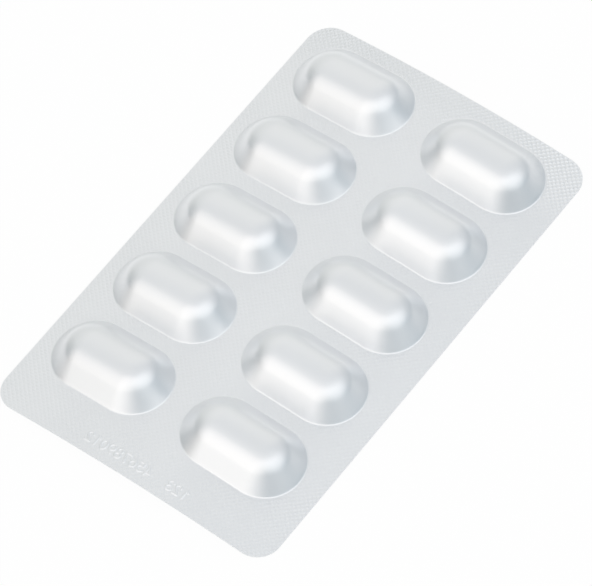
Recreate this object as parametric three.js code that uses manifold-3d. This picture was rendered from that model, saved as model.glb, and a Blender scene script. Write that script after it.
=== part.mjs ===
// A foil pack of oblong tablets: ten domed pockets, in two columns, pressed up out of one sheet of
// aluminium laminate, with a lidding foil sealed flat across the back. It is sealed all round and
// opaque, so it is one closed solid. Units are millimetres, +Z is up and the pockets face up.
// +X runs across the pack and +Y along it, towards the end with the narrow margin.
// The origin is under the middle of the pack, on the surface that it lies on.

import * as THREE from 'three';
import { mergeVertices } from 'three/addons/utils/BufferGeometryUtils.js';
import Module from 'manifold-3d';

// Pockets, measured at the foot where the sheet starts to rise
const pocketColumns = 2;
const pocketRows = 5;
const pocketLength = 25.1; // across the pack
const pocketWidth = 15.4; // along the pack
const pocketHeight = 5; // from the flat sheet to the top
const wallDraft = 40; // degrees that the wall leans in from upright
const footRadius = 0.5; // hollow curve from the flat sheet into the wall
const shoulderRadius = 5.2; // round curve from the wall to the domed top
const domeAngle = 12; // degrees that the domed top falls away at its edge

// Flat sheet between and around the pockets
const columnGap = 4.45;
const rowGap = 2.7;
const leftMargin = 2.75;
const rightMargin = 4.6;
const farMargin = 2.95;
const codeMargin = 9.25; // wide margin at the near end, where a date code is pressed in
const cornerRadius = 4.8;
const webThickness = 0.19; // formed laminate
const lidThickness = 0.06; // foil sealed across the back

// The pack curls a little across its width, so its middle stands this much above its long edges
const crownHeight = 1.65;

// Steps of the faceted curves
const endSteps = 12; // each round end of a pocket
const shoulderSteps = 5;
const domeSteps = 2;
const footSteps = 2;
const cornerSteps = 6;
const flatSteps = 13; // odd, so that one strip lies level along the middle

const pocketsWidth = pocketColumns * pocketLength + (pocketColumns - 1) * columnGap;
const pocketsLength = pocketRows * pocketWidth + (pocketRows - 1) * rowGap;
const cardWidth = leftMargin + pocketsWidth + rightMargin;
const cardLength = farMargin + pocketsLength + codeMargin;
const sheetThickness = webThickness + lidThickness;

// Rolls a point of the flat pack round a long cylinder below it. The back of the sheet is at z = 0
// before the curl, and after it both long edges of the back are at z = 0.
const curlRadius = cardWidth ** 2 / (8 * crownHeight);
const edgeDrop = curlRadius * Math.cos(cardWidth / 2 / curlRadius);

function curl([x, y, z]) {
  const turn = x / curlRadius;
  const reach = curlRadius + z;
  return [reach * Math.sin(turn), y, reach * Math.cos(turn) - edgeDrop];
}

// Closed skin through a list of convex rings that all have the same number of points. Each ring runs
// anticlockwise as seen from the last one, and the first and last rings are closed with fans.
function loft(rings) {
  const count = rings[0].length;
  const positions = rings.flat().map(curl).flat();
  const faces = [];
  for (let level = 0; level + 1 < rings.length; level += 1) {
    for (let i = 0; i < count; i += 1) {
      const next = (i + 1) % count;
      const [a, b] = [level * count + i, level * count + next];
      const [c, d] = [a + count, b + count];
      faces.push(a, b, d, a, d, c);
    }
  }
  const last = (rings.length - 1) * count;
  for (let i = 1; i + 1 < count; i += 1) {
    faces.push(0, i + 1, i, last, last + i, last + i + 1);
  }
  const geometry = new THREE.BufferGeometry();
  geometry.setAttribute('position', new THREE.Float32BufferAttribute(positions, 3));
  geometry.setIndex(faces);
  return geometry;
}

// The sheet is lofted along X. Its stations are close together in the rounded corners, where the
// sheet gets shorter, and even across the rest.
function sheetGeometry() {
  const cornerCentre = cardWidth / 2 - cornerRadius;
  const stations = [];
  for (let i = 0; i < cornerSteps; i += 1) {
    const angle = (i / cornerSteps) * (Math.PI / 2);
    const inset = cornerRadius * (1 - Math.sin(angle));
    stations.push([-cornerCentre - cornerRadius * Math.cos(angle), cardLength / 2 - inset]);
  }
  for (let i = 0; i <= flatSteps; i += 1) {
    stations.push([cornerCentre * ((2 * i) / flatSteps - 1), cardLength / 2]);
  }
  for (let i = cornerSteps - 1; i >= 0; i -= 1) {
    const [x, halfLength] = stations[i];
    stations.push([-x, halfLength]);
  }
  return loft(stations.map(([x, halfLength]) => [
    [x, -halfLength, 0],
    [x, halfLength, 0],
    [x, halfLength, sheetThickness],
    [x, -halfLength, sheetThickness],
  ]));
}

// Half section of a pocket as pairs of distance from its middle line and height above the sheet:
// the foot's hollow curve, the straight wall, the shoulder's round curve, then the dome's wide one.
// Each part starts where the last one ends, in the same direction, and the dome's reach is what the
// other parts leave of the half width and the height.
function pocketProfile() {
  const slope = THREE.MathUtils.degToRad(90 - wallDraft);
  const dome = THREE.MathUtils.degToRad(domeAngle);
  const footRun = footRadius * Math.sin(slope);
  const footRise = footRadius * (1 - Math.cos(slope));
  const shoulderRun = shoulderRadius * (Math.sin(slope) - Math.sin(dome));
  const shoulderRise = shoulderRadius * (Math.cos(dome) - Math.cos(slope));
  const lean = 1 / Math.tan(slope);
  const runLeft = pocketWidth / 2 - footRun - shoulderRun;
  const riseLeft = pocketHeight - footRise - shoulderRise;
  const domeReach = (runLeft - riseLeft * lean) / (1 - lean * Math.tan(dome / 2));
  const domeRadius = domeReach / Math.sin(dome);
  const points = [];
  for (let i = 0; i <= footSteps; i += 1) {
    const angle = (slope * i) / footSteps;
    points.push([pocketWidth / 2 - footRadius * Math.sin(angle), footRadius * (1 - Math.cos(angle))]);
  }
  const domeFoot = pocketHeight - domeRadius * (1 - Math.cos(dome));
  const shoulderCentre = domeFoot - shoulderRadius * Math.cos(dome);
  for (let i = 0; i <= shoulderSteps; i += 1) {
    const angle = slope + ((dome - slope) * i) / shoulderSteps;
    const run = shoulderRadius * (Math.sin(angle) - Math.sin(dome));
    points.push([domeReach + run, shoulderCentre + shoulderRadius * Math.cos(angle)]);
  }
  for (let i = 1; i <= domeSteps; i += 1) {
    const angle = dome * (1 - i / (domeSteps + 1));
    points.push([domeRadius * Math.sin(angle), pocketHeight - domeRadius * (1 - Math.cos(angle))]);
  }
  return points;
}

// The first run of the foot is carried on down to the middle of the sheet, so that pocket and sheet
// join in a clean line.
function rootPoint([first, second]) {
  const fall = sheetThickness / 2;
  const run = (first[0] - second[0]) / (second[1] - first[1]);
  return [first[0] + fall * run, -fall];
}

// Oblong ring with round ends, at one distance from the pocket's middle line
function oblongRing(centreX, centreY, reach, height) {
  const halfStraight = (pocketLength - pocketWidth) / 2;
  const outline = new THREE.Path();
  outline.absarc(halfStraight, 0, reach, -Math.PI / 2, Math.PI / 2);
  outline.absarc(-halfStraight, 0, reach, Math.PI / 2, (3 * Math.PI) / 2);
  const ends = outline.curves.filter((curve) => curve.isEllipseCurve);
  const points = ends.flatMap((end) => end.getPoints(endSteps));
  return points.map((point) => [centreX + point.x, centreY + point.y, sheetThickness + height]);
}

function pocketGeometry(centreX, centreY) {
  const profile = pocketProfile();
  const levels = [rootPoint(profile), ...profile];
  return loft(levels.map(([reach, height]) => oblongRing(centreX, centreY, reach, height)));
}

const wasm = await Module();
wasm.setup();

function toSolid(geometry) {
  const merged = mergeVertices(geometry);
  return new wasm.Manifold(new wasm.Mesh({
    numProp: 3,
    vertProperties: merged.attributes.position.array,
    triVerts: new Uint32Array(merged.index.array),
  }));
}

function toGeometry(solid) {
  const mesh = solid.getMesh();
  const geometry = new THREE.BufferGeometry();
  geometry.setAttribute('position', new THREE.BufferAttribute(mesh.vertProperties, 3));
  geometry.setIndex(new THREE.BufferAttribute(mesh.triVerts, 1));
  geometry.computeVertexNormals();
  return geometry;
}

function packSolid() {
  let pack = toSolid(sheetGeometry());
  for (let column = 0; column < pocketColumns; column += 1) {
    const centreX = leftMargin + pocketLength / 2 + column * (pocketLength + columnGap) - cardWidth / 2;
    for (let row = 0; row < pocketRows; row += 1) {
      const centreY = cardLength / 2 - farMargin - pocketWidth / 2 - row * (pocketWidth + rowGap);
      pack = pack.add(toSolid(pocketGeometry(centreX, centreY)));
    }
  }
  return pack;
}

const foil = new THREE.MeshStandardMaterial({ color: 0xdfe2e5, roughness: 0.32, metalness: 0.9 });
const blisterPack = new THREE.Mesh(toGeometry(packSolid()), foil);
blisterPack.name = 'blister_pack';

const pack = new THREE.Group();
pack.add(blisterPack);

export default pack;
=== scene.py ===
"""Foil pack of ten oblong tablets: its finish, its light and its camera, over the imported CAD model.

Lengths are in metres. The pack lies on its two long edges with the pockets up, and its middle stands a
little off the floor. +X runs across the pack and +Y along it, away from the end with the code line.
"""

import math
from collections import namedtuple

import bmesh
import bpy
import numpy as np
from mathutils import Matrix, Vector


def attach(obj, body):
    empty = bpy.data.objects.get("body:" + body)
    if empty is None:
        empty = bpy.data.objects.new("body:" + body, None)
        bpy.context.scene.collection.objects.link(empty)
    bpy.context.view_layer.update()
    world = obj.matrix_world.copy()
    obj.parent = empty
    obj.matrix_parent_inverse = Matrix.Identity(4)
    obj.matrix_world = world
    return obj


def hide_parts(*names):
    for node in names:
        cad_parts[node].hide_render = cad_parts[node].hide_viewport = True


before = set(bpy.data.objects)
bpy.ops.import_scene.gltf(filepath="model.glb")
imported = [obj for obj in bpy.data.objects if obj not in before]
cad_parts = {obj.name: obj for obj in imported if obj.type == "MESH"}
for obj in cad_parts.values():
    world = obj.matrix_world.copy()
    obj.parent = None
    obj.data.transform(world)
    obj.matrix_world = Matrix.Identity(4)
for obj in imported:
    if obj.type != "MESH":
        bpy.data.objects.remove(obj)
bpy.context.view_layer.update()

bl_info = {
    "name": "Foil Tablet Pack",
    "version": (1, 0, 0),
    "blender": (4, 5, 0),
    "location": "View3D > Sidebar > Tablet Pack",
    "description": "Builds a foil pack of oblong tablets and the studio that it is seen in",
    "category": "Mesh",
}

NODE = "blister_pack"
BODY = "root"
MM = 0.001

# Steps of the mesh
END_STEPS = 21  # along a cell's side, beside a pocket's round end
STRAIGHT_STEPS = 10  # along a cell's side, beside a pocket's straight part
SIDE_STEPS = 36  # along a cell's end
FOOT_STEPS = 7
WALL_STEPS = 4
SHOULDER_STEPS = 16
DOME_STEPS = 5
DISH_STEPS = 8
ARC_STEPS = 14
WELD = 0.001 * MM
SHARP_ANGLE = math.radians(35)

# Rings in the flat sheet, as shares of the way from a pocket's foot out to its cell's outline
MARGIN_SHARES = np.array([1, 0.8, 0.6, 0.4, 0.2, 0.05])

# Long waves in which the formed foil is uneven: how many across the pack and along it, where they start
# in turns, and their share of the depth
Wave = namedtuple("Wave", "across along start share")
FOIL_WAVES = (Wave(1.3, 2.1, 0.1, 1), Wave(2.2, -3.4, 0.45, 1), Wave(3.7, 5.2, 0.8, 0.6))
WAVE_DEPTH = 0.012 * MM

# Textures of the foils. Noises are in waves to the metre.
KNURL_EVERYWHERE = 0.35  # share of the knurl's depth
KNURL_UNWORN = 0.25  # share that comes and goes over the sheet
KNURL_FAR_END = 0.5  # share that is added at the far end
FAR_END_START = 36 * MM
FAR_END_FULL = 46 * MM
WEAR_NOISE = 70
WEAR_LOW = 0.3
WEAR_HIGH = 0.7
ROLLING_NOISE = 5000
ROLLING_STRETCH = 0.04  # waves along the pack for each wave across it
RIPPLE_NOISE = 180
RIPPLE_DEPTH = 0.01 * MM
DRIFT_NOISE = 45
DULLEST = 0.97  # of a foil's colour
BRIGHTEST = 1.02
ROUGHNESS_DRIFT = 0.06

CAMERA_FRAME = 36  # width of the camera's frame in millimetres
DIGIT_MIDDLE = (0.3, 0.5)

# Places of the colour sockets of a Mix node
MIX_FIRST = 6
MIX_SECOND = 7
MIX_RESULT = 2


class PackShape(bpy.types.PropertyGroup):
    """Sizes of the pack, the same as in its CAD model."""

    pocket_columns: bpy.props.IntProperty(
        name="Pocket Columns", description="Pockets side by side across the pack", default=2, min=1)
    pocket_rows: bpy.props.IntProperty(
        name="Pocket Rows", description="Pockets one behind the other along the pack", default=5, min=1)
    pocket_length: bpy.props.FloatProperty(
        name="Pocket Length", description="Across the pack, at the foot", default=25.1 * MM, unit="LENGTH")
    pocket_width: bpy.props.FloatProperty(
        name="Pocket Width", description="Along the pack, at the foot", default=15.4 * MM, unit="LENGTH")
    pocket_height: bpy.props.FloatProperty(
        name="Pocket Height", description="From the flat sheet to the top", default=5 * MM, unit="LENGTH")
    wall_draft: bpy.props.FloatProperty(
        name="Wall Draft", description="Lean of the wall from upright", default=math.radians(40),
        subtype="ANGLE")
    foot_radius: bpy.props.FloatProperty(
        name="Foot Radius", description="Hollow curve from sheet to wall", default=0.5 * MM, unit="LENGTH")
    shoulder_radius: bpy.props.FloatProperty(
        name="Shoulder Radius", description="Round curve from wall to top", default=5.2 * MM, unit="LENGTH")
    dome_angle: bpy.props.FloatProperty(
        name="Dome Angle", description="Fall of the domed top at its edge", default=math.radians(12),
        subtype="ANGLE")
    column_gap: bpy.props.FloatProperty(
        name="Column Gap", description="Sheet between two columns", default=4.45 * MM, unit="LENGTH")
    row_gap: bpy.props.FloatProperty(
        name="Row Gap", description="Sheet between two rows", default=2.7 * MM, unit="LENGTH")
    left_margin: bpy.props.FloatProperty(
        name="Left Margin", description="Sheet left of the pockets", default=2.75 * MM, unit="LENGTH")
    right_margin: bpy.props.FloatProperty(
        name="Right Margin", description="Sheet right of the pockets", default=4.6 * MM, unit="LENGTH")
    far_margin: bpy.props.FloatProperty(
        name="Far Margin", description="Sheet beyond the last row", default=2.95 * MM, unit="LENGTH")
    code_margin: bpy.props.FloatProperty(
        name="Code Margin", description="Sheet at the end with the code line", default=9.25 * MM,
        unit="LENGTH")
    corner_radius: bpy.props.FloatProperty(
        name="Corner Radius", description="Round corners of the sheet", default=4.8 * MM, unit="LENGTH")
    web_thickness: bpy.props.FloatProperty(
        name="Web Thickness", description="Formed laminate", default=0.19 * MM, unit="LENGTH")
    lid_thickness: bpy.props.FloatProperty(
        name="Lid Thickness", description="Foil sealed across the back", default=0.06 * MM, unit="LENGTH")
    crown_height: bpy.props.FloatProperty(
        name="Crown Height", description="Height of the curled sheet's middle over its long edges",
        default=1.65 * MM, unit="LENGTH")
    dish_depth: bpy.props.FloatProperty(
        name="Dish Depth", description="How far the lidding foil is drawn in behind a pocket",
        default=0.16 * MM, unit="LENGTH")


class FoilFinish(bpy.types.PropertyGroup):
    """Colours and textures of the two foils."""

    web_colour: bpy.props.FloatVectorProperty(
        name="Web Colour", description="Satin aluminium laminate", subtype="COLOR", size=3,
        default=(0.87, 0.885, 0.9), min=0, max=1)
    lid_colour: bpy.props.FloatVectorProperty(
        name="Lid Colour", description="Hard aluminium foil", subtype="COLOR", size=3,
        default=(0.8, 0.81, 0.82), min=0, max=1)
    web_roughness: bpy.props.FloatProperty(
        name="Web Roughness", description="Spread of the web's reflections", default=0.42, min=0, max=1)
    lid_roughness: bpy.props.FloatProperty(
        name="Lid Roughness", description="Spread of the lid's reflections", default=0.3, min=0, max=1)
    web_metal: bpy.props.FloatProperty(
        name="Web Metal", description="Share of the web that shows as metal through its milky film",
        default=0.8, min=0, max=1)
    lid_metal: bpy.props.FloatProperty(
        name="Lid Metal", description="Share of the lid that shows as metal", default=0.9, min=0, max=1)
    web_lacquer: bpy.props.FloatProperty(
        name="Web Lacquer", description="Clear film on the outside of the laminate", default=0.3,
        min=0, max=1)
    lid_lacquer: bpy.props.FloatProperty(
        name="Lid Lacquer", description="Clear film on the outside of the lid", default=0.2, min=0, max=1)
    lacquer_roughness: bpy.props.FloatProperty(
        name="Lacquer Roughness", description="Spread of the clear films' reflections", default=0.2,
        min=0, max=1)
    knurl_pitch: bpy.props.FloatProperty(
        name="Knurl Pitch", description="Between the lines that the sealing plates press in",
        default=0.75 * MM, unit="LENGTH")
    web_knurl_depth: bpy.props.FloatProperty(
        name="Web Knurl Depth", description="Depth of those lines on the pocket side",
        default=0.1 * MM, unit="LENGTH")
    lid_knurl_depth: bpy.props.FloatProperty(
        name="Lid Knurl Depth", description="Depth of those lines on the back", default=0.06 * MM,
        unit="LENGTH")
    web_rolling_depth: bpy.props.FloatProperty(
        name="Web Rolling Depth", description="Depth of the fine marks that run along the web",
        default=0.0004 * MM, unit="LENGTH")
    lid_rolling_depth: bpy.props.FloatProperty(
        name="Lid Rolling Depth", description="Depth of the fine marks that run along the lid",
        default=0.0012 * MM, unit="LENGTH")


class CodeLine(bpy.types.PropertyGroup):
    """Line of plain numbers pressed up from behind, so it reads from the back of the pack."""

    digits: bpy.props.StringProperty(
        name="Digits", description="Plain numbers, in reading order", default="123  456789012")
    digit_height: bpy.props.FloatProperty(
        name="Digit Height", description="Height of a digit", default=1.9 * MM, unit="LENGTH")
    digit_pitch: bpy.props.FloatProperty(
        name="Digit Pitch", description="From one digit to the next", default=1.65 * MM, unit="LENGTH")
    line_shift: bpy.props.FloatProperty(
        name="Line Shift", description="From the pack's middle to the middle of the line, across the pack",
        default=0.6 * MM, unit="LENGTH")
    edge_distance: bpy.props.FloatProperty(
        name="Edge Distance", description="From the pack's near edge to the middle of the line",
        default=3.2 * MM, unit="LENGTH")
    relief: bpy.props.FloatProperty(
        name="Relief", description="How far the digits stand up", default=0.08 * MM, unit="LENGTH")
    ridge_half_width: bpy.props.FloatProperty(
        name="Ridge Half Width", description="From a stroke's middle line to its foot", default=0.34 * MM,
        unit="LENGTH")
    sink: bpy.props.FloatProperty(
        name="Sink", description="How far the digits' own surface runs inside the sheet between strokes",
        default=0.02 * MM, unit="LENGTH")
    grid_step: bpy.props.FloatProperty(
        name="Grid Step", description="Spacing of the digits' mesh", default=0.07 * MM, unit="LENGTH")


class Studio(bpy.types.PropertyGroup):
    """Floor, surroundings and camera."""

    floor_size: bpy.props.FloatProperty(
        name="Floor Size", description="Side of the square floor", default=4.0, unit="LENGTH")
    floor_colour: bpy.props.FloatVectorProperty(
        name="Floor Colour", description="Plain white board", subtype="COLOR", size=3,
        default=(0.93, 0.93, 0.93), min=0, max=1)
    floor_roughness: bpy.props.FloatProperty(
        name="Floor Roughness", description="Spread of the board's slight gloss", default=0.35,
        min=0, max=1)
    floor_glow: bpy.props.FloatProperty(
        name="Floor Glow", description="Share of the floor that shows as plain white", default=0.95,
        min=0, max=1)
    surround_colour: bpy.props.FloatVectorProperty(
        name="Surround Colour", description="Light of the surroundings between the panels",
        subtype="COLOR", size=3, default=(0.385, 0.44, 0.475), min=0, max=2)
    camera_azimuth: bpy.props.FloatProperty(
        name="Camera Azimuth", description="Turn of the camera from the pack's near end towards +X",
        default=math.radians(44.16), subtype="ANGLE")
    camera_elevation: bpy.props.FloatProperty(
        name="Camera Elevation", description="Height of the camera above the horizon",
        default=math.radians(56.98), subtype="ANGLE")
    camera_roll: bpy.props.FloatProperty(
        name="Camera Roll", description="Turn of the camera about its own line of sight",
        default=math.radians(-8.42), subtype="ANGLE")
    camera_distance: bpy.props.FloatProperty(
        name="Camera Distance", description="From the camera to the point that it aims at",
        default=883.77 * MM, unit="LENGTH")
    camera_aim: bpy.props.FloatVectorProperty(
        name="Camera Aim", description="Point on the floor that the camera aims at", size=3,
        default=(1.36 * MM, -1.24 * MM, 0), unit="LENGTH")
    camera_lens: bpy.props.FloatProperty(
        name="Camera Lens", description="Focal length in millimetres, for a frame 36 mm wide",
        default=296.8)


# The surroundings that the foil mirrors: soft round panels, placed by azimuth from +X towards +Y and by
# elevation, both in degrees. Spread is the panel's radius and blur the width of its soft edge. The
# amount is added to the surroundings, so a negative one is a dark panel.
StudioPanel = namedtuple("StudioPanel", "azimuth elevation spread blur amount")
PANELS = {
    "front softbox": StudioPanel(253, 41, 33, 42, (0.97, 0.87, 0.80)),
    "low front softbox": StudioPanel(247, 10, 18, 20, (0.16, 0.15, 0.13)),
    "right softbox": StudioPanel(3, 50, 32, 14, (0.60, 0.59, 0.58)),
    "right flag": StudioPanel(24, 16, 18, 20, (-0.15, -0.12, -0.10)),
    "top softbox": StudioPanel(72, 64, 47, 14, (0.26, 0.23, 0.22)),
    "back softbox": StudioPanel(142, 8, 50, 12, (0.38, 0.34, 0.29)),
    "left low flag": StudioPanel(222, 0, 14, 12, (-0.10, -0.16, -0.20)),
    "left flag": StudioPanel(203, 13, 30, 14, (-0.26, -0.25, -0.25)),
}


def card_size(shape):
    """Width and length of the flat sheet, from the pockets, the gaps and the margins."""
    columns, rows = shape.pocket_columns, shape.pocket_rows
    width = columns * shape.pocket_length + (columns - 1) * shape.column_gap
    length = rows * shape.pocket_width + (rows - 1) * shape.row_gap
    return width + shape.left_margin + shape.right_margin, length + shape.far_margin + shape.code_margin


def curl(points, shape):
    """Rolls points of the flat pack round a long cylinder that lies below it, along Y.

    With the cylinder's radius R, the point (x, y, z) goes to
    ((R + z) sin(x / R), y, (R + z) cos(x / R) - d).
    R is the width squared over eight crown heights, and d puts the long edges of the back at z = 0.
    """
    width, _ = card_size(shape)
    radius = width ** 2 / (8 * shape.crown_height)
    drop = radius * math.cos(width / 2 / radius)
    turn = points[..., 0] / radius
    reach = radius + points[..., 2]
    return np.stack([reach * np.sin(turn), points[..., 1], reach * np.cos(turn) - drop], axis=-1)


def pocket_profile(shape):
    """Half section of a pocket: distances from its middle line, and heights over the sheet.

    A hollow arc of the foot radius, a straight wall at the draft angle, a round arc of the shoulder
    radius, and a wide arc over the top that starts at the dome angle. Each part starts where the last
    one ends, in the same direction. The dome reaches as far as the other parts leave room for: with the
    run and the rise that foot and shoulder leave, and c the wall's run for each unit of rise, its reach
    is (run - c rise) / (1 - c tan(dome angle / 2)).
    """
    slope, dome = math.pi / 2 - shape.wall_draft, shape.dome_angle
    foot_run = shape.foot_radius * math.sin(slope)
    foot_rise = shape.foot_radius * (1 - math.cos(slope))
    shoulder_run = shape.shoulder_radius * (math.sin(slope) - math.sin(dome))
    shoulder_rise = shape.shoulder_radius * (math.cos(dome) - math.cos(slope))
    lean = 1 / math.tan(slope)
    run_left = shape.pocket_width / 2 - foot_run - shoulder_run
    rise_left = shape.pocket_height - foot_rise - shoulder_rise
    dome_reach = (run_left - lean * rise_left) / (1 - lean * math.tan(dome / 2))
    dome_radius = dome_reach / math.sin(dome)
    foot = np.linspace(0, slope, FOOT_STEPS + 1)
    shoulder = np.linspace(slope, dome, SHOULDER_STEPS + 1)
    top = np.linspace(dome, 0, DOME_STEPS + 1)[1:]
    shoulder_level = shape.pocket_height - dome_radius * (1 - math.cos(dome))
    shoulder_level -= shape.shoulder_radius * math.cos(dome)
    wall_top = shoulder_level + shape.shoulder_radius * math.cos(slope)
    wall_height = np.linspace(foot_rise, wall_top, WALL_STEPS + 1)[1:-1]
    reach = np.concatenate([
        shape.pocket_width / 2 - shape.foot_radius * np.sin(foot),
        shape.pocket_width / 2 - foot_run - lean * (wall_height - foot_rise),
        dome_reach + shape.shoulder_radius * (np.sin(shoulder) - math.sin(dome)),
        dome_radius * np.sin(top),
    ])
    height = np.concatenate([
        shape.foot_radius * (1 - np.cos(foot)),
        wall_height,
        shoulder_level + shape.shoulder_radius * np.cos(shoulder),
        shape.pocket_height - dome_radius * (1 - np.cos(top)),
    ])
    return reach, height


def dish_profile(shape):
    """Half section of the back behind a pocket: a hollow with a cosine's shape, level at both ends."""
    reach = np.linspace(shape.pocket_width / 2, 0, DISH_STEPS + 1)
    height = shape.dish_depth * (1 + np.cos(2 * math.pi * reach / shape.pocket_width)) / 2
    return reach, height


def round_corners(points, shape):
    """Moves points of the sheet's rectangle that lie in a corner square onto the corner's arc.

    A point p goes to c + r (p - c) / |p - c|, where c is the arc's centre and r the corner radius.
    """
    half = np.array(card_size(shape)) / 2
    centre = np.sign(points) * (half - shape.corner_radius)
    offset = points - centre
    outside = (np.abs(points) > half - shape.corner_radius).all(axis=-1, keepdims=True)
    distance = np.linalg.norm(offset, axis=-1, keepdims=True)
    return np.where(outside, centre + shape.corner_radius * offset / np.maximum(distance, WELD), points)


# One cell for each pocket: where the pocket's middle is, the closed outline of the cell, and which
# steps of the outline are on the edge of the sheet
Cells = namedtuple("Cells", "centres outlines on_edge")


def steps_between(low, first, second, high):
    """Even steps in each of three stretches, with the straight part of a pocket beside the middle one."""
    return np.concatenate([
        np.linspace(low, first, END_STEPS, endpoint=False),
        np.linspace(first, second, STRAIGHT_STEPS, endpoint=False),
        np.linspace(second, high, END_STEPS + 1),
    ])


def pack_cells(shape):
    """Divides the sheet midway between its pockets, into one cell for each pocket.

    Cells that meet take the same steps along the line between them, so that their points coincide.
    """
    width, length = card_size(shape)
    columns, rows = shape.pocket_columns, shape.pocket_rows
    straight = (shape.pocket_length - shape.pocket_width) / 2
    centre_x = shape.left_margin + shape.pocket_length / 2 - width / 2
    centre_x = centre_x + np.arange(columns) * (shape.pocket_length + shape.column_gap)
    centre_y = length / 2 - shape.far_margin - shape.pocket_width / 2
    centre_y = centre_y - np.arange(rows) * (shape.pocket_width + shape.row_gap)
    split_x = [-width / 2, *(centre_x[1:] + centre_x[:-1]) / 2, width / 2]
    split_y = [length / 2, *(centre_y[1:] + centre_y[:-1]) / 2, -length / 2]
    centres, outlines, on_edge = [], [], []
    side = 2 * END_STEPS + STRAIGHT_STEPS
    for column in range(columns):
        middle = centre_x[column]
        across = steps_between(split_x[column], middle - straight, middle + straight, split_x[column + 1])
        for row in range(rows):
            along = np.linspace(split_y[row + 1], split_y[row], SIDE_STEPS + 1)
            near, far = np.full(side, along[0]), np.full(side, along[-1])
            left, right = np.full(SIDE_STEPS, across[0]), np.full(SIDE_STEPS, across[-1])
            outlines.append(np.stack([
                np.concatenate([across[:-1], right, across[:0:-1], left]),
                np.concatenate([near, along[:-1], far, along[:0:-1]]),
            ], axis=-1))
            centres.append((middle, centre_y[row]))
            edges = [row == rows - 1, column == columns - 1, row == 0, column == 0]
            on_edge.append(np.repeat(edges, [side, SIDE_STEPS, side, SIDE_STEPS]))
    return Cells(np.array(centres), round_corners(np.array(outlines), shape), np.array(on_edge))


def ring_surface(cells, shape, profile, base):
    """Rings of points round every pocket, from its cell's outline in to its middle line.

    For a point p of the outline, m is the nearest point of the pocket's middle line. The rings' points
    are m + r (p - m) / |p - m|. In the sheet r falls from |p - m| to half the pocket's width, and in the
    pocket it follows the profile, which also gives the height over the base.
    """
    reach, height = profile
    straight = (shape.pocket_length - shape.pocket_width) / 2
    offset = cells.outlines - cells.centres[:, None]
    middle = np.stack([np.clip(offset[..., 0], -straight, straight), 0 * offset[..., 1]], axis=-1)
    ray = offset - middle
    far = np.linalg.norm(ray, axis=-1)
    foot = shape.pocket_width / 2
    margin = foot + MARGIN_SHARES[:, None] * (far[:, None] - foot)
    pocket = np.broadcast_to(reach[:, None], (len(far), len(reach), far.shape[1]))
    rings = np.concatenate([margin, pocket], axis=1)
    middle = cells.centres[:, None] + middle
    plan = middle[:, None] + (ray / far[..., None])[:, None] * rings[..., None]
    level = base + np.concatenate([0 * MARGIN_SHARES, height])
    level = np.broadcast_to(level[None, :, None, None], plan.shape[:3] + (1,))
    return np.concatenate([plan, level], axis=-1)


def ring_faces(grid, start, upward):
    """Quads between neighbouring rings, facing up or down, for points numbered from start."""
    index = start + np.arange(grid[..., 0].size).reshape(grid.shape[:3])
    outer, inner = index[:, :-1], index[:, 1:]
    faces = np.stack([outer, np.roll(outer, -1, axis=2), np.roll(inner, -1, axis=2), inner], axis=-1)
    faces = faces.reshape(-1, 4)
    return faces if upward else faces[:, ::-1]


def rim_faces(cells, upper, lower, start):
    """Quads up the edge of the sheet, from the lower surface's outermost ring to the upper one's."""
    above = np.arange(upper[..., 0].size).reshape(upper.shape[:3])[:, 0]
    below = start + np.arange(lower[..., 0].size).reshape(lower.shape[:3])[:, 0]
    faces = np.stack([below, np.roll(below, -1, axis=1), np.roll(above, -1, axis=1), above], axis=-1)
    return faces[cells.on_edge]


def handled(points, shape):
    """Points of the flat pack as they lie: a little uneven, as formed foil is, then curled.

    The unevenness is a sum of three long waves across and along the pack. It fades to nothing at the
    long edges, which lie on the floor.
    """
    width, length = card_size(shape)
    across, along = points[..., 0] / width, points[..., 1] / length
    waves = sum(
        wave.share * np.sin(2 * math.pi * (wave.across * across + wave.along * along + wave.start))
        for wave in FOIL_WAVES)
    height = WAVE_DEPTH * waves * (1 - 4 * across ** 2)
    uneven = np.concatenate([points[..., :2], points[..., 2:] + height[..., None]], axis=-1)
    return curl(uneven, shape)


def place_piece(mesh, material):
    """Puts a finished mesh in the scene as a piece that stands for the CAD node."""
    piece = bpy.data.objects.new(mesh.name, mesh)
    bpy.context.scene.collection.objects.link(piece)
    mesh.materials.append(material)
    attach(piece, BODY)
    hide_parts(NODE)
    return piece


def foil_mesh(name, cells, shape, upper, lower):
    """Closed mesh of a foil, with an upper and a lower surface and the cut edge between them.

    The point attribute seal is 1 in the flat sheet and 0 at the pockets.
    """
    start = upper[..., 0].size
    faces = np.concatenate([
        ring_faces(upper, 0, True),
        ring_faces(lower, start, False),
        rim_faces(cells, upper, lower, start),
    ])
    points = np.concatenate([upper.reshape(-1, 3), lower.reshape(-1, 3)])
    seal = [np.zeros(surface.shape[:3]) for surface in (upper, lower)]
    for share in seal:
        share[:, :len(MARGIN_SHARES)] = 1
    mesh = bpy.data.meshes.new(name)
    mesh.from_pydata(handled(points, shape).tolist(), [], faces.tolist())
    layer = mesh.attributes.new("seal", "FLOAT", "POINT")
    layer.data.foreach_set("value", np.concatenate([share.ravel() for share in seal]))
    weld(mesh)
    return mesh


def weld(mesh):
    """Joins points that coincide, which closes the seams between grids, then smooths all but the edges."""
    work = bmesh.new()
    work.from_mesh(mesh)
    bmesh.ops.remove_doubles(work, verts=work.verts, dist=WELD)
    work.to_mesh(mesh)
    work.free()
    mesh.shade_smooth()
    mesh.set_sharp_from_angle(angle=SHARP_ANGLE)


def arc(across, up, half_width, half_height, start, end):
    """Points of an ellipse's arc between two angles in degrees."""
    turn = np.radians(np.linspace(start, end, ARC_STEPS + 1))
    return np.stack([across + half_width * np.cos(turn), up + half_height * np.sin(turn)], axis=-1)


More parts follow.
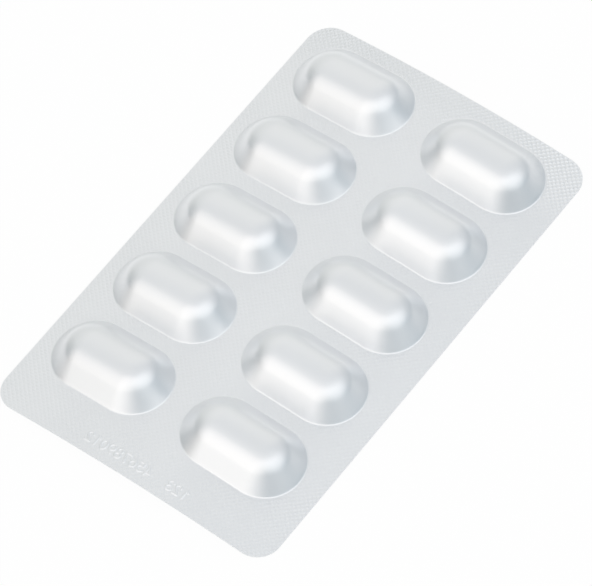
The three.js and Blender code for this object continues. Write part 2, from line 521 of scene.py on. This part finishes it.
def digit_strokes():
    """Middle lines of plain digits, each one unit tall and about 0.6 wide, from the lower left corner."""
    return {
        "0": [arc(0.3, 0.5, 0.3, 0.5, 0, 360)],
        "1": [np.array([(0.1, 0.78), (0.34, 1), (0.34, 0)])],
        "2": [np.concatenate([arc(0.3, 0.71, 0.28, 0.29, 165, -35), [(0.02, 0), (0.6, 0)]])],
        "3": [arc(0.28, 0.75, 0.27, 0.25, 150, -90), arc(0.28, 0.25, 0.3, 0.25, 90, -150)],
        "4": [np.array([(0.46, 0), (0.46, 1), (0, 0.28), (0.6, 0.28)])],
        "5": [np.concatenate([[(0.56, 1), (0.1, 1)], arc(0.28, 0.32, 0.3, 0.32, 130, -145)])],
        "6": [arc(0.3, 0.3, 0.3, 0.3, 0, 360), arc(0.6, 0.3, 0.6, 0.7, 180, 105)],
        "7": [np.array([(0, 1), (0.58, 1), (0.2, 0)])],
        "8": [arc(0.3, 0.76, 0.25, 0.24, 0, 360), arc(0.3, 0.26, 0.3, 0.26, 0, 360)],
        "9": [arc(0.3, 0.7, 0.3, 0.3, 0, 360), arc(0, 0.7, 0.6, 0.7, 0, -75)],
    }


def code_segments(shape, code):
    """Straight pieces of every stroke of the code line, mirrored, as pairs of end points on the sheet."""
    _, length = card_size(shape)
    strokes = digit_strokes()
    middle = (len(code.digits) - 1) / 2
    starts, ends = [], []
    for place, digit in enumerate(code.digits):
        for stroke in strokes.get(digit, ()):
            points = (stroke - DIGIT_MIDDLE) * code.digit_height
            points[:, 0] = code.line_shift - points[:, 0] - (place - middle) * code.digit_pitch
            points[:, 1] += code.edge_distance - length / 2
            starts.append(points[:-1])
            ends.append(points[1:])
    return np.concatenate(starts), np.concatenate(ends)


def code_surfaces(shape, code):
    """Upper and lower grids of the code line.

    A point's height is h (1 + cos(pi d / w)) / 2 over the sheet, where d is its distance from the nearest
    stroke, as far as w. Between the strokes the surface runs just inside the sheet.
    """
    starts, ends = code_segments(shape, code)
    low = np.minimum(starts, ends).min(axis=0) - code.ridge_half_width
    high = np.maximum(starts, ends).max(axis=0) + code.ridge_half_width
    columns, rows = np.ceil((high - low) / code.grid_step).astype(int) + 1
    across, along = np.linspace(low[0], high[0], columns), np.linspace(low[1], high[1], rows)
    points = np.stack(np.meshgrid(across, along), axis=-1)
    nearest = np.full((rows, columns), code.ridge_half_width)
    for start, end in zip(starts, ends):
        run = end - start
        share = np.clip(((points - start) @ run) / (run @ run), 0, 1)
        distance = np.linalg.norm(points - start - share[..., None] * run, axis=-1)
        nearest = np.minimum(nearest, distance)
    sheet = shape.web_thickness + shape.lid_thickness
    ridge = (code.relief + code.sink) * (1 + np.cos(math.pi * nearest / code.ridge_half_width)) / 2
    upper = np.concatenate([points, (sheet - code.sink + ridge)[..., None]], axis=-1)
    lower = np.concatenate([points, np.full((rows, columns, 1), sheet - 2 * code.sink)], axis=-1)
    return upper, lower


def slab_mesh(name, shape, upper, lower):
    """Closed mesh between two grids that have the same plan."""
    rows, columns = upper.shape[:2]
    index = np.arange(rows * columns).reshape(rows, columns)
    quads = np.stack([index[:-1, :-1], index[:-1, 1:], index[1:, 1:], index[1:, :-1]], axis=-1)
    quads = quads.reshape(-1, 4)
    border = np.concatenate([index[0, :-1], index[:-1, -1], index[-1, :0:-1], index[:0:-1, 0]])
    following = np.roll(border, -1)
    below = rows * columns
    walls = np.stack([border + below, following + below, following, border], axis=-1)
    faces = np.concatenate([quads, quads[:, ::-1] + below, walls])
    points = np.concatenate([upper.reshape(-1, 3), lower.reshape(-1, 3)])
    mesh = bpy.data.meshes.new(name)
    mesh.from_pydata(handled(points, shape).tolist(), [], faces.tolist())
    weld(mesh)
    return mesh


class Term:
    """A number that varies over a surface. Expressions on terms add Math nodes to their shader."""

    def __init__(self, shader, socket):
        self.shader = shader
        self.socket = socket

    def __add__(self, other):
        return self.shader.math("ADD", self, other)

    def __radd__(self, other):
        return self.shader.math("ADD", other, self)

    def __sub__(self, other):
        return self.shader.math("SUBTRACT", self, other)

    def __rsub__(self, other):
        return self.shader.math("SUBTRACT", other, self)

    def __mul__(self, other):
        return self.shader.math("MULTIPLY", self, other)

    def __rmul__(self, other):
        return self.shader.math("MULTIPLY", other, self)

    def __truediv__(self, other):
        return self.shader.math("DIVIDE", self, other)


class Shader:
    """One node tree, written from empty."""

    def __init__(self, owner):
        owner.use_nodes = True
        self.tree = owner.node_tree
        self.tree.nodes.clear()

    def make(self, kind, settings=None, inputs=None):
        """Adds a node of any kind. Settings come first, then its sockets get values, terms or links."""
        node = self.tree.nodes.new("ShaderNode" + kind)
        for name, value in (settings or {}).items():
            setattr(node, name, value)
        for place, value in (inputs or {}).items():
            socket = node.inputs[place]
            source = value.socket if isinstance(value, Term) else value
            if isinstance(source, bpy.types.NodeSocket):
                self.tree.links.new(source, socket)
            else:
                socket.default_value = source
        return node

    def math(self, operation, *values):
        """A Math node on terms and numbers."""
        return Term(self, self.make("Math", {"operation": operation}, dict(enumerate(values))).outputs[0])

    def term(self, kind, settings, inputs, output):
        """One output of a new node, as a term."""
        return Term(self, self.make(kind, settings, inputs).outputs[output])

    def rise(self, value, low, high):
        """Smooth step from 0 at low to 1 at high."""
        inputs = {"Value": value, "From Min": low, "From Max": high}
        return self.term("MapRange", {"interpolation_type": "SMOOTHSTEP"}, inputs, "Result")

    def triangle(self, value):
        """Zigzag of period 1 that runs from 0 to 1 and back."""
        return self.math("PINGPONG", value, 0.5) * 2

    def noise(self, where, scale, detail=2):
        """Soft random field round 0.5, with scale in waves to the metre."""
        return self.term("TexNoise", None, {"Vector": where, "Scale": scale, "Detail": detail}, "Fac")

    def blend(self, factor, first, second):
        """Mix of two colours."""
        inputs = {"Factor": factor, MIX_FIRST: first, MIX_SECOND: second}
        return self.make("Mix", {"data_type": "RGBA"}, inputs).outputs[MIX_RESULT]

    def vector(self, operation, *inputs, **named):
        """A Vector Math node, with its vector sockets in order and any others by name."""
        return self.make("VectorMath", {"operation": operation}, {**dict(enumerate(inputs)), **named})


def opaque(colour):
    """A colour with its alpha."""
    return (*colour, 1)


# How one foil looks: its colour, how much of it shows as metal, the spread of its reflections, its clear
# film, and how deep the sealing plates' knurl and the rolling marks are
FoilLook = namedtuple("FoilLook", "colour metal roughness lacquer knurl_depth rolling_depth")


def foil_relief(shader, look, finish):
    """Height of a foil's fine texture over its own mesh.

    The knurl is the lower of two zigzags along the diagonals, which makes small pyramids. It fades out
    with the seal attribute, its depth comes and goes over the sheet, and it is deepest at the far end of
    the pack. Rolling marks run along the pack, and a slow ripple covers everything.
    """
    where = shader.make("TexCoord").outputs["Object"]
    axes = shader.make("SeparateXYZ", None, {"Vector": where})
    across, along = Term(shader, axes.outputs["X"]), Term(shader, axes.outputs["Y"])
    seal = shader.term("Attribute", {"attribute_name": "seal"}, None, "Fac")
    diagonal = math.sqrt(2) * finish.knurl_pitch
    rising = shader.triangle((across + along) / diagonal)
    falling = shader.triangle((across - along) / diagonal)
    pyramids = shader.math("MINIMUM", rising, falling)
    unworn = shader.rise(shader.noise(where, WEAR_NOISE, 1), WEAR_LOW, WEAR_HIGH)
    far_end = shader.rise(along, FAR_END_START, FAR_END_FULL)
    depth = KNURL_EVERYWHERE + KNURL_UNWORN * unworn + KNURL_FAR_END * far_end
    pressed = seal * pyramids * depth
    stretch = {"Vector": where, "Scale": (1, ROLLING_STRETCH, 1)}
    rolling = shader.noise(shader.make("Mapping", None, stretch).outputs[0], ROLLING_NOISE, 1)
    ripple = shader.noise(where, RIPPLE_NOISE, 1)
    return pressed * look.knurl_depth + rolling * look.rolling_depth + ripple * RIPPLE_DEPTH


def foil_material(name, look, finish):
    """Satin foil under a thin clear film. Its colour and roughness drift a little over the sheet."""
    material = bpy.data.materials.new(name)
    shader = Shader(material)
    where = shader.make("TexCoord").outputs["Object"]
    relief = foil_relief(shader, look, finish)
    bump = shader.make("Bump", None, {"Height": relief, "Strength": 1.0, "Distance": 1.0})
    drift = shader.noise(where, DRIFT_NOISE, 3)
    colour = np.array(look.colour)
    duller, brighter = DULLEST * colour, np.minimum(BRIGHTEST * colour, 1)
    surface = shader.make("BsdfPrincipled", None, {
        "Base Color": shader.blend(drift, opaque(duller), opaque(brighter)),
        "Metallic": look.metal,
        "Roughness": look.roughness - ROUGHNESS_DRIFT / 2 + ROUGHNESS_DRIFT * drift,
        "Coat Weight": look.lacquer,
        "Coat Roughness": finish.lacquer_roughness,
        "Normal": bump.outputs["Normal"],
    })
    shader.make("OutputMaterial", None, {"Surface": surface.outputs[0]})
    return material


def web_look(finish, knurl_depth):
    """Look of the formed laminate."""
    return FoilLook(
        finish.web_colour, finish.web_metal, finish.web_roughness, finish.web_lacquer, knurl_depth,
        finish.web_rolling_depth)


def lid_look(finish):
    """Look of the lidding foil, with coarser rolling marks than the laminate's."""
    return FoilLook(
        finish.lid_colour, finish.lid_metal, finish.lid_roughness, finish.lid_lacquer,
        finish.lid_knurl_depth, finish.lid_rolling_depth)


def floor_material(studio):
    """White board with a slight gloss. Part of its colour is plain white to the camera and to whatever
    mirrors it, and the rest takes the light, so it keeps the pack's shadow."""
    material = bpy.data.materials.new("white_board")
    shader = Shader(material)
    rays = shader.make("LightPath")
    seen = shader.math("MAXIMUM", rays.outputs["Is Camera Ray"], rays.outputs["Is Glossy Ray"])
    seen = shader.math("MAXIMUM", seen, rays.outputs["Is Transmission Ray"])
    board = shader.make("BsdfPrincipled", None, {
        "Base Color": opaque(studio.floor_colour),
        "Roughness": studio.floor_roughness,
    })
    white = shader.make("Emission", None, {"Color": (1, 1, 1, 1), "Strength": 1.0})
    shown = shader.make("MixShader", None, {
        "Fac": seen * studio.floor_glow,
        1: board.outputs[0],
        2: white.outputs[0],
    })
    shader.make("OutputMaterial", None, {"Surface": shown.outputs[0]})
    return material


def direction(azimuth, elevation):
    """Unit vector from angles in degrees: azimuth from +X towards +Y, elevation above the horizon."""
    turn, rise = math.radians(azimuth), math.radians(elevation)
    return (math.cos(turn) * math.cos(rise), math.sin(turn) * math.cos(rise), math.sin(rise))


def light_world(studio):
    """Surroundings of one even colour, with the studio's panels added to it."""
    world = bpy.data.worlds.new("studio")
    shader = Shader(world)
    looking = shader.make("TexCoord").outputs["Generated"]
    light = tuple(studio.surround_colour)
    for panel in PANELS.values():
        towards = direction(panel.azimuth, panel.elevation)
        closeness = Term(shader, shader.vector("DOT_PRODUCT", looking, towards).outputs["Value"])
        inner, outer = panel.spread - panel.blur / 2, panel.spread + panel.blur / 2
        lit = shader.rise(closeness, math.cos(math.radians(outer)), math.cos(math.radians(inner)))
        amount = shader.vector("SCALE", panel.amount, Scale=lit).outputs[0]
        light = shader.vector("ADD", light, amount).outputs[0]
    background = shader.make("Background", None, {"Color": light, "Strength": 1.0})
    shader.make("OutputWorld", None, {"Surface": background.outputs[0]})
    bpy.context.scene.world = world


def lay_floor(studio):
    """Flat square floor under the pack."""
    half = studio.floor_size / 2
    mesh = bpy.data.meshes.new("floor")
    corners = [(-half, -half, 0), (half, -half, 0), (half, half, 0), (-half, half, 0)]
    mesh.from_pydata(corners, [], [(0, 1, 2, 3)])
    mesh.materials.append(floor_material(studio))
    floor = bpy.data.objects.new("floor", mesh)
    bpy.context.scene.collection.objects.link(floor)


def aim_camera(studio):
    """Camera at a distance from the point that it aims at, turned about its own line of sight."""
    azimuth = math.degrees(studio.camera_azimuth) - 90
    back = Vector(direction(azimuth, math.degrees(studio.camera_elevation)))
    level = Vector((0, 0, 1)).cross(back).normalized()
    upright = back.cross(level)
    roll = Matrix.Rotation(studio.camera_roll, 3, back)
    axes = Matrix([roll @ level, roll @ upright, back]).transposed().to_4x4()
    place = Vector(studio.camera_aim) + studio.camera_distance * back
    lens = bpy.data.cameras.new("camera")
    lens.lens = studio.camera_lens
    lens.sensor_width = CAMERA_FRAME
    camera = bpy.data.objects.new("camera", lens)
    camera.matrix_world = Matrix.Translation(place) @ axes
    bpy.context.scene.collection.objects.link(camera)
    bpy.context.scene.camera = camera


class MESH_OT_formed_web(bpy.types.Operator):
    """Build the formed laminate with its ten pockets"""

    bl_idname = "mesh.tablet_pack_formed_web"
    bl_label = "Formed Web"
    bl_options = {"REGISTER", "UNDO"}

    def execute(self, context):
        shape, finish = context.scene.pack_shape, context.scene.foil_finish
        cells = pack_cells(shape)
        sheet = shape.web_thickness + shape.lid_thickness
        upper = ring_surface(cells, shape, pocket_profile(shape), sheet)
        lower = ring_surface(cells, shape, dish_profile(shape), shape.lid_thickness)
        material = foil_material("satin_laminate", web_look(finish, finish.web_knurl_depth), finish)
        place_piece(foil_mesh("formed_web", cells, shape, upper, lower), material)
        return {"FINISHED"}


class MESH_OT_lidding_foil(bpy.types.Operator):
    """Build the foil that is sealed across the back"""

    bl_idname = "mesh.tablet_pack_lidding_foil"
    bl_label = "Lidding Foil"
    bl_options = {"REGISTER", "UNDO"}

    def execute(self, context):
        shape, finish = context.scene.pack_shape, context.scene.foil_finish
        cells = pack_cells(shape)
        upper = ring_surface(cells, shape, dish_profile(shape), shape.lid_thickness)
        lower = ring_surface(cells, shape, dish_profile(shape), 0)
        material = foil_material("hard_foil", lid_look(finish), finish)
        place_piece(foil_mesh("lidding_foil", cells, shape, upper, lower), material)
        return {"FINISHED"}


class MESH_OT_code_line(bpy.types.Operator):
    """Press the line of plain numbers up out of the wide margin"""

    bl_idname = "mesh.tablet_pack_code_line"
    bl_label = "Code Line"
    bl_options = {"REGISTER", "UNDO"}

    def execute(self, context):
        shape, finish, code = context.scene.pack_shape, context.scene.foil_finish, context.scene.code_line
        mesh = slab_mesh("code_line", shape, *code_surfaces(shape, code))
        material = foil_material("pressed_laminate", web_look(finish, 0), finish)
        place_piece(mesh, material)
        return {"FINISHED"}


class SCENE_OT_studio(bpy.types.Operator):
    """Lay the floor, light the surroundings and aim the camera"""

    bl_idname = "scene.tablet_pack_studio"
    bl_label = "Studio"
    bl_options = {"REGISTER", "UNDO"}

    def execute(self, context):
        studio = context.scene.pack_studio
        lay_floor(studio)
        light_world(studio)
        aim_camera(studio)
        context.scene.view_settings.view_transform = "Standard"
        return {"FINISHED"}


class VIEW3D_PT_tablet_pack(bpy.types.Panel):
    """The pack's pieces and its studio"""

    bl_idname = "VIEW3D_PT_tablet_pack"
    bl_label = "Tablet Pack"
    bl_space_type = "VIEW_3D"
    bl_region_type = "UI"
    bl_category = "Tablet Pack"

    def draw(self, context):
        for operator in OPERATORS:
            self.layout.operator(operator.bl_idname)


OPERATORS = (MESH_OT_formed_web, MESH_OT_lidding_foil, MESH_OT_code_line, SCENE_OT_studio)
SETTINGS = {
    "pack_shape": PackShape,
    "foil_finish": FoilFinish,
    "code_line": CodeLine,
    "pack_studio": Studio,
}


def register():
    for group in SETTINGS.values():
        bpy.utils.register_class(group)
    for name, group in SETTINGS.items():
        setattr(bpy.types.Scene, name, bpy.props.PointerProperty(type=group))
    for operator in OPERATORS:
        bpy.utils.register_class(operator)
    bpy.utils.register_class(VIEW3D_PT_tablet_pack)


def unregister():
    bpy.utils.unregister_class(VIEW3D_PT_tablet_pack)
    for operator in reversed(OPERATORS):
        bpy.utils.unregister_class(operator)
    for name in SETTINGS:
        delattr(bpy.types.Scene, name)
    for group in reversed(SETTINGS.values()):
        bpy.utils.unregister_class(group)


def main():
    """Registers the classes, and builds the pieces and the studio."""
    register()
    bpy.ops.mesh.tablet_pack_formed_web()
    bpy.ops.mesh.tablet_pack_lidding_foil()
    bpy.ops.mesh.tablet_pack_code_line()
    bpy.ops.scene.tablet_pack_studio()


if __name__ == "__main__":
    main()
